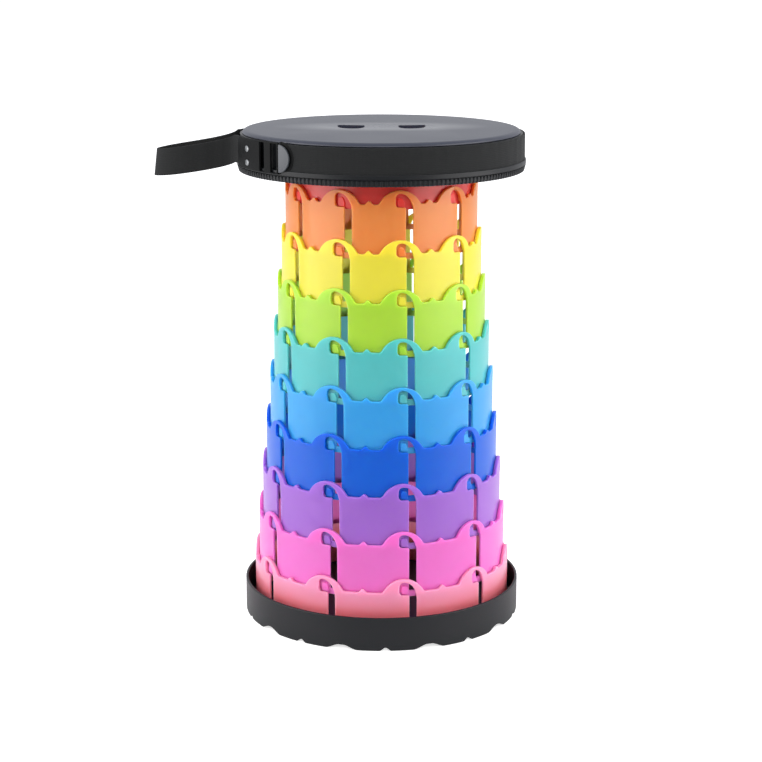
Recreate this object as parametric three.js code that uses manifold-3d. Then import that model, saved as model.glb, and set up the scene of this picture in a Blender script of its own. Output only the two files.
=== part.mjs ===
// Telescopic folding stool, drawn out to its sitting height.
// Ten thin plastic rings nest in one another. Pegs near the bottom of each ring sit in hooked
// windows near the top of the ring around it. The widest ring stands in the base tray and the
// narrowest carries the round seat, which has a webbing strap with a carry loop round its rim.
// Millimetres, +Z up, front towards -Y. The origin is on the axis, at the ground.

import * as THREE from 'three';
import { mergeVertices } from 'three/addons/utils/BufferGeometryUtils.js';
import Module from 'manifold-3d';

const wasm = await Module();
wasm.setup();

// Driving dimensions: the stack of rings
const ringCount = 10;
const slotCount = 10; // hooked windows round each ring
const ringFacets = 20; // flats round every ring, the same on all so that the gaps stay even
const outerRingRadius = 115.9;
const ringStep = 3.85; // from one ring's outside to the next
const stagePitch = 41.8; // rise of one stage
const lowestDip = 50; // height of the widest ring's dips above the ground
const stageOverlap = 5.2; // how far a ring's bottom edge hangs below the dips of the ring around it
const wallThickness = 2;
const slideClearance = 0.35; // peg to the bore that it slides down
const collarClearance = 0.5; // thick collar to the ring inside it
const restGap = 0.3; // between faces that rest on one another

// Driving dimensions: arches and dips of a ring's top edge
const archRise = 11.5;
const archRadius = 20;
const archCrown = 6; // flat top of an arch
const archArcSteps = 2;
const dipDepth = 0.5; // dips below the level that the arches are measured from

// Driving dimensions: hooked windows
const slotWidth = 6.8;
const hoopHeight = 5.2; // closed band under a slot
const pocketCentre = 8.4; // to the left of the slot
const pocketHalf = 4.1;
const pocketDepth = 3.1; // pocket floor below the dips
const archStrip = 2.7; // strip of wall over a window
const hookDrop = 4; // how far the slot's straight side ends below the pocket floor
const pocketShoulder = 7.5; // height of the pocket's left side
const hookArcSteps = 2;
const collarLift = 0.6; // collar's underside above the pocket floor

// Driving dimensions: pegs
const pegWidth = 5.6;
const pegHeight = 7.6;
const pegTip = 4.6; // width of its narrower top
const pegShift = 1.6; // from the pocket's middle towards the slot
const pegRoot = 1; // how deep a peg runs into the wall that carries it

// Driving dimensions: base tray
const baseRadius = 125;
const baseHeight = 30;
const baseWall = 2.4;
const baseFloor = 2.2;
const baseEdge = 1.6;
const baseFacets = 40;
const footHeight = 2;
const footCount = 20;
const footGap = 9.5;
const footGapAzimuth = THREE.MathUtils.degToRad(1.6);
const footRing = 13;
const lipChamfer = 0.7;
const locatorHeight = 8; // low rib round the foot of the widest ring
const locatorWall = 1.8;
const hubRadius = 24; // round pad under the middle of the tray

// Driving dimensions: seat
const topRingHeight = 57.1;
const lidThickness = 3.4;
const lidInset = 2; // lid's edge inside the rim's wall
const lidBevelRun = 3.2;
const lidBevelDrop = 2.6;
const lidFacets = 32;
const spigotHeight = 3; // rib under the lid that enters the rim
const spigotWall = 2.2;
const seatDepth = 36; // lid top to the underside of the rim
const rimWallRadius = 124;
const rimWall = 2.3;
const rimLedgeWidth = 2.2;
const rimTopPlate = 2.6;
const rimFoot = 2; // width of the rim's lower edge
const flangeRoundRun = 5.8;
const flangeRoundRise = 4.6;
const flangeRoundSteps = 2;
const flangeLip = 0.6; // thin lip that keeps the webbing in its groove
const flangeLipHeight = 2.2;
const flangeSkin = 3;
const lidRibCount = 8;
const lidRibWidth = 2;
const lidRibHeight = 2.4;
const lidRibStart = 52; // the ribs' inner ends from the axis
const hoopWall = 1.9;
const gripWidth = 24;
const gripLength = 28;
const gripSpacing = 54;
const gripShift = 10; // middle of the finger holes behind the axis
const gripFlat = 8;
const gripArcSteps = 6;

// Driving dimensions: webbing strap, its carry loop, buckle, end tab and studs. Azimuths are
// measured from the front, to the right.
const webWidth = 24;
const webThickness = 1.5;
const bandStart = THREE.MathUtils.degToRad(-43);
const bandFacet = THREE.MathUtils.degToRad(8);
const loopRoot = THREE.MathUtils.degToRad(19); // half the angle between the loop's roots
const loopTail = THREE.MathUtils.degToRad(14); // what lies on the rim under the buckle
const loopHeel = THREE.MathUtils.degToRad(5); // what lies on the rim at the far root
const loopReach = 198.3; // tip from the axis
const loopDroop = 14;
const loopDroopMargin = 2; // from the webbing on the rim to where the loop starts to droop
const loopDroopPower = 0.63;
const loopSteps = 36;
const loopLapSteps = 4;
// Free run of the near side: outwards from the rim to the tip, and from the loop's middle line
const loopShares = [
  [0.025, 0.683], [0.095, 0.5], [0.243, 0.451], [0.462, 0.439], [0.708, 0.402], [0.892, 0.28],
];
const buckleStart = THREE.MathUtils.degToRad(-73.2);
const buckleEnd = THREE.MathUtils.degToRad(-43.8);
const buckleHeight = 26.4;
const buckleThickness = 1.8;
const buckleCorner = 2.6;
const buckleFacets = 7;
const buckleSlotHeight = 20;
const slotNarrowAzimuth = THREE.MathUtils.degToRad(-53.7);
const slotNarrowWidth = 6.6;
const slotWideAzimuth = THREE.MathUtils.degToRad(-45.9);
const slotWideWidth = 6.4;
const tabStart = THREE.MathUtils.degToRad(-43.2);
const tabRadius = 11.7;
const tabThickness = 1.7;
const tabSteps = 8;
const studLength = 10;
const studHeight = 6;
const studSpacing = 11.8;
const studDrop = 2.5; // middle of the pair below the middle of the webbing
const studProud = 1;
const studAzimuth = THREE.MathUtils.degToRad(-66.2);
const studSides = 10;

// Slots stand one above another, with a slight lean to the left on the way down
const lowestSlotAzimuth = THREE.MathUtils.degToRad(13.8);
const slotLean = THREE.MathUtils.degToRad(0.33);

const overrun = 1; // how far every cutter runs past what it cuts

// Colours
const ringColours = [
  0xd83a3a, 0xf08a3c, 0xf5dc3e, 0xa8dc46, 0x55c4c4, 0x429ae0, 0x2a5fd8, 0x9f63c8, 0xe86fbe, 0xe98fab,
];
const blackPlastic = { color: 0x2c3033, roughness: 0.45 };
const lidPlastic = { color: 0x3a3c40, roughness: 0.4 };
const tabPlastic = { color: 0x85888b, roughness: 0.4 };
const studMetal = { color: 0xb8bcbe, roughness: 0.3, metalness: 1 };
const webbing = { color: 0x1c1d1f, roughness: 0.9 };

const group = new THREE.Group();

function add(name, geometry, look) {
  const mesh = new THREE.Mesh(geometry, new THREE.MeshStandardMaterial(look));
  mesh.name = name;
  group.add(mesh);
}

// A closed solid from a geometry, with its shared corners merged
function toSolid(geometry) {
  const bare = new THREE.BufferGeometry();
  bare.setAttribute('position', geometry.getAttribute('position'));
  bare.setIndex(geometry.getIndex());
  const merged = mergeVertices(bare, 1e-4);
  const index = merged.getIndex().array;
  const triangles = [];
  for (let i = 0; i < index.length; i += 3) {
    const [a, b, c] = [index[i], index[i + 1], index[i + 2]];
    if (a !== b && b !== c && c !== a) {
      triangles.push(a, b, c);
    }
  }
  return new wasm.Manifold(new wasm.Mesh({
    numProp: 3,
    vertProperties: new Float32Array(merged.getAttribute('position').array),
    triVerts: new Uint32Array(triangles),
  }));
}

function toGeometry(solid) {
  const mesh = solid.getMesh();
  const geometry = new THREE.BufferGeometry();
  geometry.setAttribute('position', new THREE.BufferAttribute(mesh.vertProperties, 3));
  geometry.setIndex(new THREE.BufferAttribute(mesh.triVerts, 1));
  geometry.computeVertexNormals();
  return geometry;
}

// Turned form about Z. The profile is a closed line of [radius, height], counter-clockwise.
// Its first corner is at azimuth zero.
function turned(profile, facets) {
  const onAxis = profile[0][0] === 0;
  const line = onAxis ? profile : [...profile, profile[0]];
  const points = line.map(([radius, height]) => new THREE.Vector2(radius, height));
  return new THREE.LatheGeometry(points, facets).rotateX(Math.PI / 2);
}

// Prism that runs through a round wall, from one distance from the axis to another. Its
// outline is in [distance to the right of the azimuth, height].
function wallPrism(outline, azimuth, inside, outside) {
  const corners = outline.map(([across, height]) => new THREE.Vector2(across, height));
  const options = { depth: outside - inside, bevelEnabled: false };
  const prism = new THREE.ExtrudeGeometry(new THREE.Shape(corners), options);
  return prism.rotateX(Math.PI / 2).translate(0, -inside, 0).rotateZ(azimuth);
}

// Rings are numbered from 1, the narrowest at the top, to ringCount, the widest
const ringRadius = (ring) => outerRingRadius - (ringCount - ring) * ringStep;
const dipLevel = (ring) => lowestDip + (ringCount - ring) * stagePitch;
const slotAzimuth = (ring) => lowestSlotAzimuth + (ringCount - ring) * slotLean;
const windowMiddle = (slotWidth / 2 - pocketCentre - pocketHalf) / 2;
const facetTurn = (ring) => slotAzimuth(ring) + windowMiddle / ringRadius(ring) - Math.PI / ringFacets;
const ringFlat = (radius) => radius * Math.cos(Math.PI / ringFacets); // axis to the middle of a flat
const trayFloor = footHeight + baseFloor;
const sector = (2 * Math.PI) / slotCount;

function ringBottom(ring) {
  if (ring === ringCount) {
    return trayFloor + restGap;
  }
  return dipLevel(ring + 1) - stageOverlap;
}

// Outline of a hooked window about its slot's centre line: slot, pocket to the left and the
// curve that runs from the slot's right side over the pocket.
function windowOutline(ring) {
  const floor = dipLevel(ring) - pocketDepth;
  const springing = floor - hookDrop;
  const crown = dipLevel(ring) + archRise - archStrip;
  const outline = [];
  for (let i = 0; i <= hookArcSteps; i += 1) {
    const angle = (i / hookArcSteps) * (Math.PI / 2);
    outline.push([
      (slotWidth / 2 + pocketCentre) * Math.cos(angle) - pocketCentre,
      springing + (crown - springing) * Math.sin(angle),
    ]);
  }
  outline.push([-pocketCentre - pocketHalf, floor + pocketShoulder]);
  outline.push([-pocketCentre - pocketHalf, floor]);
  outline.push([-slotWidth / 2, floor]);
  outline.push([-slotWidth / 2, ringBottom(ring) + hoopHeight]);
  outline.push([slotWidth / 2, ringBottom(ring) + hoopHeight]);
  return outline;
}

// What is cut from the top edge between two arches, about the middle of the dip. Its flanks
// follow the arches' circle.
function dipOutline(ring) {
  const top = dipLevel(ring) + archRise;
  const bottom = dipLevel(ring) - dipDepth;
  const radius = ringRadius(ring);
  const half = (radius * sector) / 2;
  const first = Math.asin(archCrown / 2 / archRadius);
  const last = Math.acos(1 - (top - bottom) / archRadius);
  const right = [];
  for (let i = archArcSteps; i >= 0; i -= 1) {
    const angle = THREE.MathUtils.lerp(first, last, i / archArcSteps);
    const along = half - archRadius * Math.sin(angle);
    right.push([radius * Math.sin(along / radius), top - archRadius * (1 - Math.cos(angle))]);
  }
  right.push([radius * Math.sin((half - archCrown / 2) / radius), top + overrun]);
  const left = right.map(([across, height]) => [-across, height]).reverse();
  return [...left, ...right];
}

// Outline of the peg that stands in a pocket of the given ring, about its own middle
function pegOutline(ring) {
  const floor = dipLevel(ring) - pocketDepth + restGap;
  const right = [[pegWidth / 2, floor], [pegTip / 2, floor + pegHeight]];
  return [...right, ...right.map(([across, height]) => [-across, height]).reverse()];
}

// Ring wall: a thick collar from the windows up, and a thinner wall below it, so that the pegs
// of the ring inside catch under the arches and still run down the bore.
function slottedRing(ring) {
  const outside = ringRadius(ring);
  const bottom = ringBottom(ring);
  const top = dipLevel(ring) + archRise;
  const collarInside = outside - ringStep + collarClearance;
  const collarBottom = dipLevel(ring) - pocketDepth + collarLift;
  let solid = toSolid(turned([
    [outside, bottom],
    [outside, top],
    [collarInside, top],
    [collarInside, collarBottom],
    [outside - wallThickness, collarBottom],
    [outside - wallThickness, bottom],
  ], ringFacets).rotateZ(facetTurn(ring)));
  const inside = collarInside * Math.cos(sector / 2) - overrun;
  for (let i = 0; i < slotCount; i += 1) {
    const slot = slotAzimuth(ring) + i * sector;
    const dip = slot - pocketCentre / outside + sector / 2;
    solid = solid
      .subtract(toSolid(wallPrism(windowOutline(ring), slot, inside, outside + overrun)))
      .subtract(toSolid(wallPrism(dipOutline(ring), dip, inside, outside + overrun)));
  }
  return solid;
}

// The narrowest ring has no windows, because nothing slides in it
function plainRing() {
  const outside = ringRadius(1);
  const bottom = ringBottom(1);
  return toSolid(turned([
    [outside, bottom],
    [outside, bottom + topRingHeight],
    [outside - wallThickness, bottom + topRingHeight],
    [outside - wallThickness, bottom],
  ], ringFacets).rotateZ(facetTurn(1)));
}

function addPegs(solid, ring) {
  const around = ringRadius(ring + 1);
  const root = ringFlat(ringRadius(ring)) - pegRoot;
  const end = ringFlat(around - wallThickness) - slideClearance;
  let pegged = solid;
  for (let i = 0; i < slotCount; i += 1) {
    const azimuth = slotAzimuth(ring + 1) + i * sector + (pegShift - pocketCentre) / around;
    pegged = pegged.add(toSolid(wallPrism(pegOutline(ring + 1), azimuth, root, end)));
  }
  return pegged;
}

function makeRing(ring) {
  const wall = ring === 1 ? plainRing() : slottedRing(ring);
  const solid = ring === ringCount ? wall : addPegs(wall, ring);
  const name = `ring_${String(ring).padStart(2, '0')}`;
  add(name, toGeometry(solid), { color: ringColours[ring - 1], roughness: 0.35 });
}

// Base: a shallow tray on a foot of separate pads, with a low rib round the widest ring
function makeBase() {
  const wallInside = baseRadius - baseWall;
  const footOutside = baseRadius - baseEdge;
  const footInside = footOutside - footRing;
  const locatorInside = (outerRingRadius + restGap) / Math.cos(Math.PI / baseFacets);
  const locatorOutside = locatorInside + locatorWall;
  let solid = toSolid(turned([
    [0, 0],
    [hubRadius, 0],
    [hubRadius, footHeight],
    [footInside, footHeight],
    [footInside, 0],
    [footOutside, 0],
    [baseRadius, baseEdge],
    [baseRadius, baseHeight - lipChamfer],
    [baseRadius - lipChamfer, baseHeight],
    [wallInside, baseHeight],
    [wallInside, trayFloor],
    [locatorOutside, trayFloor],
    [locatorOutside, trayFloor + locatorHeight],
    [locatorInside, trayFloor + locatorHeight],
    [locatorInside, trayFloor],
    [0, trayFloor],
  ], baseFacets).rotateZ(footGapAzimuth - Math.PI / baseFacets));
  const half = footGap / 2;
  const notch = [
    [-half, -overrun],
    [half, -overrun],
    [half / 2, footHeight],
    [-half / 2, footHeight],
  ];
  for (let i = 0; i < footCount; i += 1) {
    const azimuth = footGapAzimuth + (i / footCount) * 2 * Math.PI;
    const cutter = wallPrism(notch, azimuth, footInside - overrun, baseRadius + overrun);
    solid = solid.subtract(toSolid(cutter));
  }
  add('base_tray', toGeometry(solid), blackPlastic);
}

const ringTop = ringBottom(1) + topRingHeight;
const lidUnderside = ringTop + restGap;
const seatTop = lidUnderside + lidThickness;
const rimTop = lidUnderside - restGap;
const rimBottom = seatTop - seatDepth;
const webBottom = rimTop - webWidth;
const grooveFloor = webBottom - restGap;
const lipTop = grooveFloor + flangeLipHeight;
const rimInside = rimWallRadius - rimWall;
const rimLedge = rimInside - rimLedgeWidth;
const lidRadius = rimWallRadius - lidInset;
const webInside = rimWallRadius + restGap;
const webOutside = webInside + webThickness;
const lipInside = (webOutside + restGap) / Math.cos(Math.PI / lidFacets);
const flangeRadius = lipInside + flangeLip;
const overFlange = flangeRadius + restGap; // where what lies over the flange begins

// A finger hole: straight along the back and round at the front
function gripOutline(side) {
  const outline = [];
  for (let i = 0; i <= gripArcSteps; i += 1) {
    const angle = Math.PI + (i / gripArcSteps) * Math.PI;
    outline.push([(gripWidth / 2) * Math.cos(angle), (gripLength - gripFlat) * Math.sin(angle)]);
  }
  outline.push([gripWidth / 2, gripFlat]);
  outline.push([-gripWidth / 2, gripFlat]);
  const drop = gripLength / 2 - gripFlat;
  return outline.map(([x, y]) => new THREE.Vector2(x + (side * gripSpacing) / 2, y + gripShift + drop));
}

// Lid: the round plate that is sat on, with a bevelled edge, a spigot that enters the rim, a
// hoop that centres the narrowest ring and ribs across its underside.
function makeLid() {
  const spigotOutside = rimLedge - restGap;
  const spigotInside = spigotOutside - spigotWall;
  const hoopOutside = ringFlat(ringRadius(1) - wallThickness) - restGap;
  const hoopInside = hoopOutside - hoopWall;
  const ribBottom = lidUnderside - lidRibHeight;
  let solid = toSolid(turned([
    [0, lidUnderside],
    [hoopInside, lidUnderside],
    [hoopInside, lidUnderside - spigotHeight],
    [hoopOutside, lidUnderside - spigotHeight],
    [hoopOutside, lidUnderside],
    [spigotInside, lidUnderside],
    [spigotInside, lidUnderside - spigotHeight],
    [spigotOutside, lidUnderside - spigotHeight],
    [spigotOutside, lidUnderside],
    [lidRadius, lidUnderside],
    [lidRadius, seatTop - lidBevelDrop],
    [lidRadius - lidBevelRun, seatTop],
    [0, seatTop],
  ], lidFacets));
  const ribLength = hoopOutside - hoopWall / 2 - lidRibStart;
  for (let i = 0; i < lidRibCount; i += 1) {
    const rib = new THREE.BoxGeometry(ribLength, lidRibWidth, lidRibHeight + overrun);
    rib.translate(lidRibStart + ribLength / 2, 0, ribBottom + (lidRibHeight + overrun) / 2);
    rib.rotateZ(((i + 1 / 2) / lidRibCount) * 2 * Math.PI);
    solid = solid.add(toSolid(rib));
  }
  for (const side of [-1, 1]) {
    const options = { depth: lidThickness + 2 * overrun, bevelEnabled: false };
    const hole = new THREE.ExtrudeGeometry(new THREE.Shape(gripOutline(side)), options);
    hole.translate(0, 0, lidUnderside - overrun);
    solid = solid.subtract(toSolid(hole));
  }
  add('seat_lid', toGeometry(solid), lidPlastic);
}

// Rim: the wall under the lid's edge. The flange round its foot is rounded below and has a thin
// lip that keeps the webbing in its groove, but not where the carry loop leaves the rim.
function makeRim() {
  const foot = flangeRadius - flangeRoundRun;
  const round = [];
  for (let i = 0; i <= flangeRoundSteps; i += 1) {
    const angle = (i / flangeRoundSteps) * (Math.PI / 2);
    round.push([
      foot + flangeRoundRun * Math.sin(angle),
      rimBottom + flangeRoundRise * (1 - Math.cos(angle)),
    ]);
  }
  const solid = toSolid(turned([
    ...round,
    [flangeRadius, lipTop],
    [lipInside, lipTop],
    [lipInside, grooveFloor],
    [rimWallRadius, grooveFloor],
    [rimWallRadius, rimTop],
    [rimLedge, rimTop],
    [rimLedge, rimTop - rimTopPlate],
    [rimInside, rimTop - rimTopPlate],
    [rimInside, grooveFloor - flangeSkin],
    [foot - rimFoot, rimBottom],
  ], lidFacets));
  const lip = toSolid(turned([
    [lipInside - restGap, grooveFloor],
    [flangeRadius + overrun, grooveFloor],
    [flangeRadius + overrun, lipTop + overrun],
    [lipInside - restGap, lipTop + overrun],
  ], lidFacets));
  const half = flangeRadius * Math.sin(loopRoot);
  const top = lipTop + overrun;
  const low = grooveFloor - overrun;
  const gate = [[-half, low], [half, low], [half, top], [-half, top]];
  const opening = toSolid(wallPrism(gate, -Math.PI / 2, rimInside * Math.cos(loopRoot), loopReach));
  add('seat_rim', toGeometry(solid.subtract(lip.intersect(opening))), blackPlastic);
}

// Upright strip along a line of plan points, thickened to both sides. The heights give its
// lower edge at each point.
function uprightStrip(line, heights, thickness, width) {
  const vertices = [];
  line.forEach((point, i) => {
    const before = line[Math.max(i - 1, 0)];
    const after = line[Math.min(i + 1, line.length - 1)];
    const side = new THREE.Vector2(after.y - before.y, before.x - after.x).setLength(thickness / 2);
    vertices.push(point.x - side.x, point.y - side.y, heights[i]);
    vertices.push(point.x + side.x, point.y + side.y, heights[i]);
    vertices.push(point.x + side.x, point.y + side.y, heights[i] + width);
    vertices.push(point.x - side.x, point.y - side.y, heights[i] + width);
  });
  const faces = [0, 1, 2, 0, 2, 3];
  for (let i = 0; i < line.length - 1; i += 1) {
    for (let edge = 0; edge < 4; edge += 1) {
      const [a, b] = [4 * i + edge, 4 * i + ((edge + 1) % 4)];
      faces.push(a, a + 4, b + 4, a, b + 4, b);
    }
  }
  const end = 4 * (line.length - 1);
  faces.push(end, end + 2, end + 1, end, end + 3, end + 2);
  const geometry = new THREE.BufferGeometry();
  geometry.setAttribute('position', new THREE.Float32BufferAttribute(vertices, 3));
  geometry.setIndex(faces);
  geometry.computeVertexNormals();
  return geometry;
}

// Plan points round the rim from one azimuth to another
function rimLine(from, to, radius, steps) {
  const line = [];
  for (let i = 0; i <= steps; i += 1) {
    const azimuth = THREE.MathUtils.lerp(from, to, i / steps);
    line.push(new THREE.Vector2(radius * Math.sin(azimuth), -radius * Math.cos(azimuth)));
  }
  return line;
}

const webMiddle = (webInside + webOutside) / 2;
const nearRoot = loopRoot - Math.PI / 2;
const farRoot = -loopRoot - Math.PI / 2;

// The band lies in its groove from the tab at the front, by the right and the back, to the loop
function makeBand() {
  const end = 2 * Math.PI + farRoot - loopHeel - restGap / webMiddle;
  const steps = Math.round((end - bandStart) / bandFacet);
  const line = rimLine(bandStart, end, webMiddle, steps);
  add('strap_band', uprightStrip(line, line.map(() => webBottom), webThickness, webWidth), webbing);
}

// Carry loop: the webbing leaves the rim at the left, runs out to its tip and comes back
function makeLoop() {
  const freeReach = loopReach - webMiddle;
  const near = loopShares.map(([out, across]) => {
    const y = -webMiddle * Math.sin(loopRoot) * across;
    return new THREE.Vector2(-Math.sqrt(webMiddle ** 2 - y ** 2) - freeReach * out, y);
  });
  const far = near.map((point) => new THREE.Vector2(point.x, -point.y)).reverse();
  const tip = new THREE.Vector2(-loopReach, 0);
  const tail = rimLine(nearRoot + loopTail, nearRoot, webMiddle, loopLapSteps);
  const heel = rimLine(farRoot, farRoot - loopHeel, webMiddle, loopLapSteps);
  const plan = [...tail, ...near, tip, ...far, ...heel];
  const curve = new THREE.CatmullRomCurve3(plan.map(({ x, y }) => new THREE.Vector3(x, y, 0)));
  const line = curve.getSpacedPoints(loopSteps);
  const droopStart = webOutside + loopDroopMargin;
  const heights = line.map(({ x }) => {
    const out = Math.max(-x - droopStart, 0) / (loopReach - droopStart);
    return webBottom - loopDroop * out ** loopDroopPower;
  });
  add('strap_loop', uprightStrip(line, heights, webThickness, webWidth), webbing);
}

// Buckle: a curved plate over the near root, with two slots and the bar between them
function makeBuckle() {
  const middle = (buckleStart + buckleEnd) / 2;
  const centre = overFlange + buckleThickness / 2;
  const bottom = webBottom + webWidth / 2 - buckleHeight / 2;
  const top = bottom + buckleHeight;
  const line = rimLine(buckleStart, buckleEnd, centre, buckleFacets);
  const plate = toSolid(uprightStrip(line, line.map(() => bottom), buckleThickness, buckleHeight));
  const inside = overFlange * Math.cos((buckleEnd - buckleStart) / 2) - overrun;
  const outside = overFlange + buckleThickness + overrun;
  const half = outside * Math.sin((buckleEnd - buckleStart) / 2);
  const outline = [
    [buckleCorner - half, bottom],
    [half, bottom],
    [half, top],
    [buckleCorner - half, top],
    [-half, top - buckleCorner],
    [-half, bottom + buckleCorner],
  ];
  let solid = plate.intersect(toSolid(wallPrism(outline, middle, inside, outside)));
  const margin = (buckleHeight - buckleSlotHeight) / 2;
  const slots = [[slotNarrowAzimuth, slotNarrowWidth], [slotWideAzimuth, slotWideWidth]];
  for (const [azimuth, width] of slots) {
    const slot = [
      [-width / 2, bottom + margin],
      [width / 2, bottom + margin],
      [width / 2, top - margin],
      [-width / 2, top - margin],
    ];
    solid = solid.subtract(toSolid(wallPrism(slot, azimuth, inside, outside)));
  }
  add('strap_buckle', toGeometry(solid), blackPlastic);
}

// Tab: the half-round end of the band, beside the buckle
function makeTab() {
  const half = tabRadius / overFlange / 2;
  const outline = [];
  for (let i = 0; i <= tabSteps; i += 1) {
    const angle = (i / tabSteps - 1 / 2) * Math.PI;
    outline.push([
      tabRadius * (Math.cos(angle) - 1 / 2),
      webBottom + webWidth / 2 + tabRadius * Math.sin(angle),
    ]);
  }
  const outside = overFlange + tabThickness;
  add('strap_tab', wallPrism(outline, tabStart + half, overFlange, outside), tabPlastic);
}

// Two oval studs hold the loop's near end to the buckle's end plate
function makeStuds() {
  const inside = overFlange + buckleThickness + restGap;
  const rises = { strap_stud_upper: studSpacing / 2, strap_stud_lower: -studSpacing / 2 };
  for (const [name, rise] of Object.entries(rises)) {
    const outline = [];
    for (let i = 0; i < studSides; i += 1) {
      const angle = (i / studSides) * 2 * Math.PI;
      outline.push([
        (studLength / 2) * Math.cos(angle),
        webBottom + webWidth / 2 - studDrop + rise + (studHeight / 2) * Math.sin(angle),
      ]);
    }
    add(name, wallPrism(outline, studAzimuth, inside, inside + studProud), studMetal);
  }
}

group.name = 'telescopic_stool';
for (let ring = ringCount; ring >= 1; ring -= 1) {
  makeRing(ring);
}
makeBase();
makeLid();
makeRim();
makeBand();
makeLoop();
makeBuckle();
makeTab();
makeStuds();

export default group;
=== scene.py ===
# %% [markdown]
# # A telescopic folding stool
# The stool is ten thin plastic rings that nest in one another, a base tray and a round seat
# with a strap. The imported model brings the real sizes and the joints. This lesson dresses it:
# finer meshes where the imported ones are coarse, and a finish for every surface.

# %% Load the imported model, and a way to measure the box of what is shown
import math

import bpy
from mathutils import Matrix, Vector, noise


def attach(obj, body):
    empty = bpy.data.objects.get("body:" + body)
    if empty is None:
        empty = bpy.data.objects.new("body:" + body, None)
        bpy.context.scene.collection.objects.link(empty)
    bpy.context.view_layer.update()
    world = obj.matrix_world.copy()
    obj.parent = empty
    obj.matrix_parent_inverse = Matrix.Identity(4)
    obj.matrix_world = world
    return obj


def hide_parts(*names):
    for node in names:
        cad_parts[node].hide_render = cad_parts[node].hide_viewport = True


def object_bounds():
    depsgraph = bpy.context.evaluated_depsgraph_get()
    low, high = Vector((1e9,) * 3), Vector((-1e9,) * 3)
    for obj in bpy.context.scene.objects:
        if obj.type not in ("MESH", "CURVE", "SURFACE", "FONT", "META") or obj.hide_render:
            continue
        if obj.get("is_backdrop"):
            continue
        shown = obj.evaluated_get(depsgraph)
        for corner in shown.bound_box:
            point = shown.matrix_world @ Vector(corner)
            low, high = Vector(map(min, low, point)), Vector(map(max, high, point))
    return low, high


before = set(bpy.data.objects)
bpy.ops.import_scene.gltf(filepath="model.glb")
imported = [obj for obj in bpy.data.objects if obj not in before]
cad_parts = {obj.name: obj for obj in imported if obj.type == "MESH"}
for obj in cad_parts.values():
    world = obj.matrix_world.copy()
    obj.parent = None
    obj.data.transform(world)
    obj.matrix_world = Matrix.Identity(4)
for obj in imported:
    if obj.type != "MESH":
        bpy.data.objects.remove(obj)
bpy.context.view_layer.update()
MM = 0.001

# %% [markdown]
# ## Camera
# The photograph was taken from seat height and a little above, with a long lens, so the sides
# of the stool stay almost upright. A long lens far away is the only way to get that calm
# perspective: a short lens close by would swell the seat.

# %% Camera
PHOTO_WIDTH = 762
CAMERA_LENS = 92.9
CAMERA_SENSOR = 36
CAMERA_PLACE = (0, -1.7307, 0.6233)
CAMERA_TILT = 13.389

scene = bpy.context.scene
camera_data = bpy.data.cameras.new("camera")
camera_data.lens = CAMERA_LENS
camera_data.sensor_width = CAMERA_SENSOR
camera_data.shift_x = -0.5 / PHOTO_WIDTH
camera = bpy.data.objects.new("camera", camera_data)
camera.location = CAMERA_PLACE
camera.rotation_euler = (math.radians(90 - CAMERA_TILT), 0, 0)
scene.collection.objects.link(camera)
scene.camera = camera
print("camera at", CAMERA_PLACE, "looking down", CAMERA_TILT, "degrees")

# %% [markdown]
# ## Sums on shader sockets
# A finish is easier to read as a sum, such as `0.3 + 0.1 * grain`, than as a web of nodes. One
# small class holds a socket and turns Python's signs into Math nodes. Another adds nodes: an
# input is named by its socket with `_` for a space, or by its number as `_0`.

# %% A finish and its values


class Value:
    """An output socket that sums can be written with."""

    def __init__(self, finish, socket):
        self.finish = finish
        self.socket = socket

    def __add__(self, other):
        return self.finish.math("ADD", self, other)

    __radd__ = __add__

    def __sub__(self, other):
        return self.finish.math("SUBTRACT", self, other)

    def __rsub__(self, other):
        return self.finish.math("SUBTRACT", other, self)

    def __mul__(self, other):
        return self.finish.math("MULTIPLY", self, other)

    __rmul__ = __mul__

    def __truediv__(self, other):
        return self.finish.math("DIVIDE", self, other)

    def __pow__(self, other):
        return self.finish.math("POWER", self, other)


class Nodes:
    """A node tree whose nodes are added by type, settings and inputs."""

    def __init__(self, tree):
        self.tree = tree

    def node(self, kind, settings=None, **inputs):
        node = self.tree.nodes.new(kind)
        for key, value in (settings or {}).items():
            setattr(node, key, value)
        for key, value in inputs.items():
            numbered = key.startswith("_")
            socket = node.inputs[int(key[1:]) if numbered else key.replace("_", " ")]
            self.feed(socket, value)
        return node

    def feed(self, socket, value):
        if isinstance(value, Value):
            self.tree.links.new(value.socket, socket)
        elif isinstance(value, bpy.types.NodeSocket):
            self.tree.links.new(value, socket)
        else:
            socket.default_value = value

    def math(self, operation, a, b=0.0, clamp=False):
        node = self.node("ShaderNodeMath", {"operation": operation, "use_clamp": clamp}, _0=a, _1=b)
        return Value(self, node.outputs[0])

    def value(self, node, output):
        return Value(self, node.outputs[output])

    def place(self, output="Object"):
        return self.node("ShaderNodeTexCoord").outputs[output]

    def noise(self, scale, detail):
        node = self.node("ShaderNodeTexNoise", Vector=self.place(), Scale=scale, Detail=detail)
        return Value(self, node.outputs["Fac"])

    def eased(self, value, near, far, low, high):
        """Eases from low to high while the value goes from near to far."""
        node = self.node(
            "ShaderNodeMapRange",
            {"interpolation_type": "SMOOTHSTEP"},
            Value=value,
            From_Min=near,
            From_Max=far,
            To_Min=low,
            To_Max=high,
        )
        return Value(self, node.outputs["Result"])

    def mix(self, factor, a, b):
        node = self.node("ShaderNodeMix", {"data_type": "RGBA"})
        self.feed(node.inputs[0], factor)
        self.feed(node.inputs[6], a)
        self.feed(node.inputs[7], b)
        return node.outputs[2]


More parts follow.
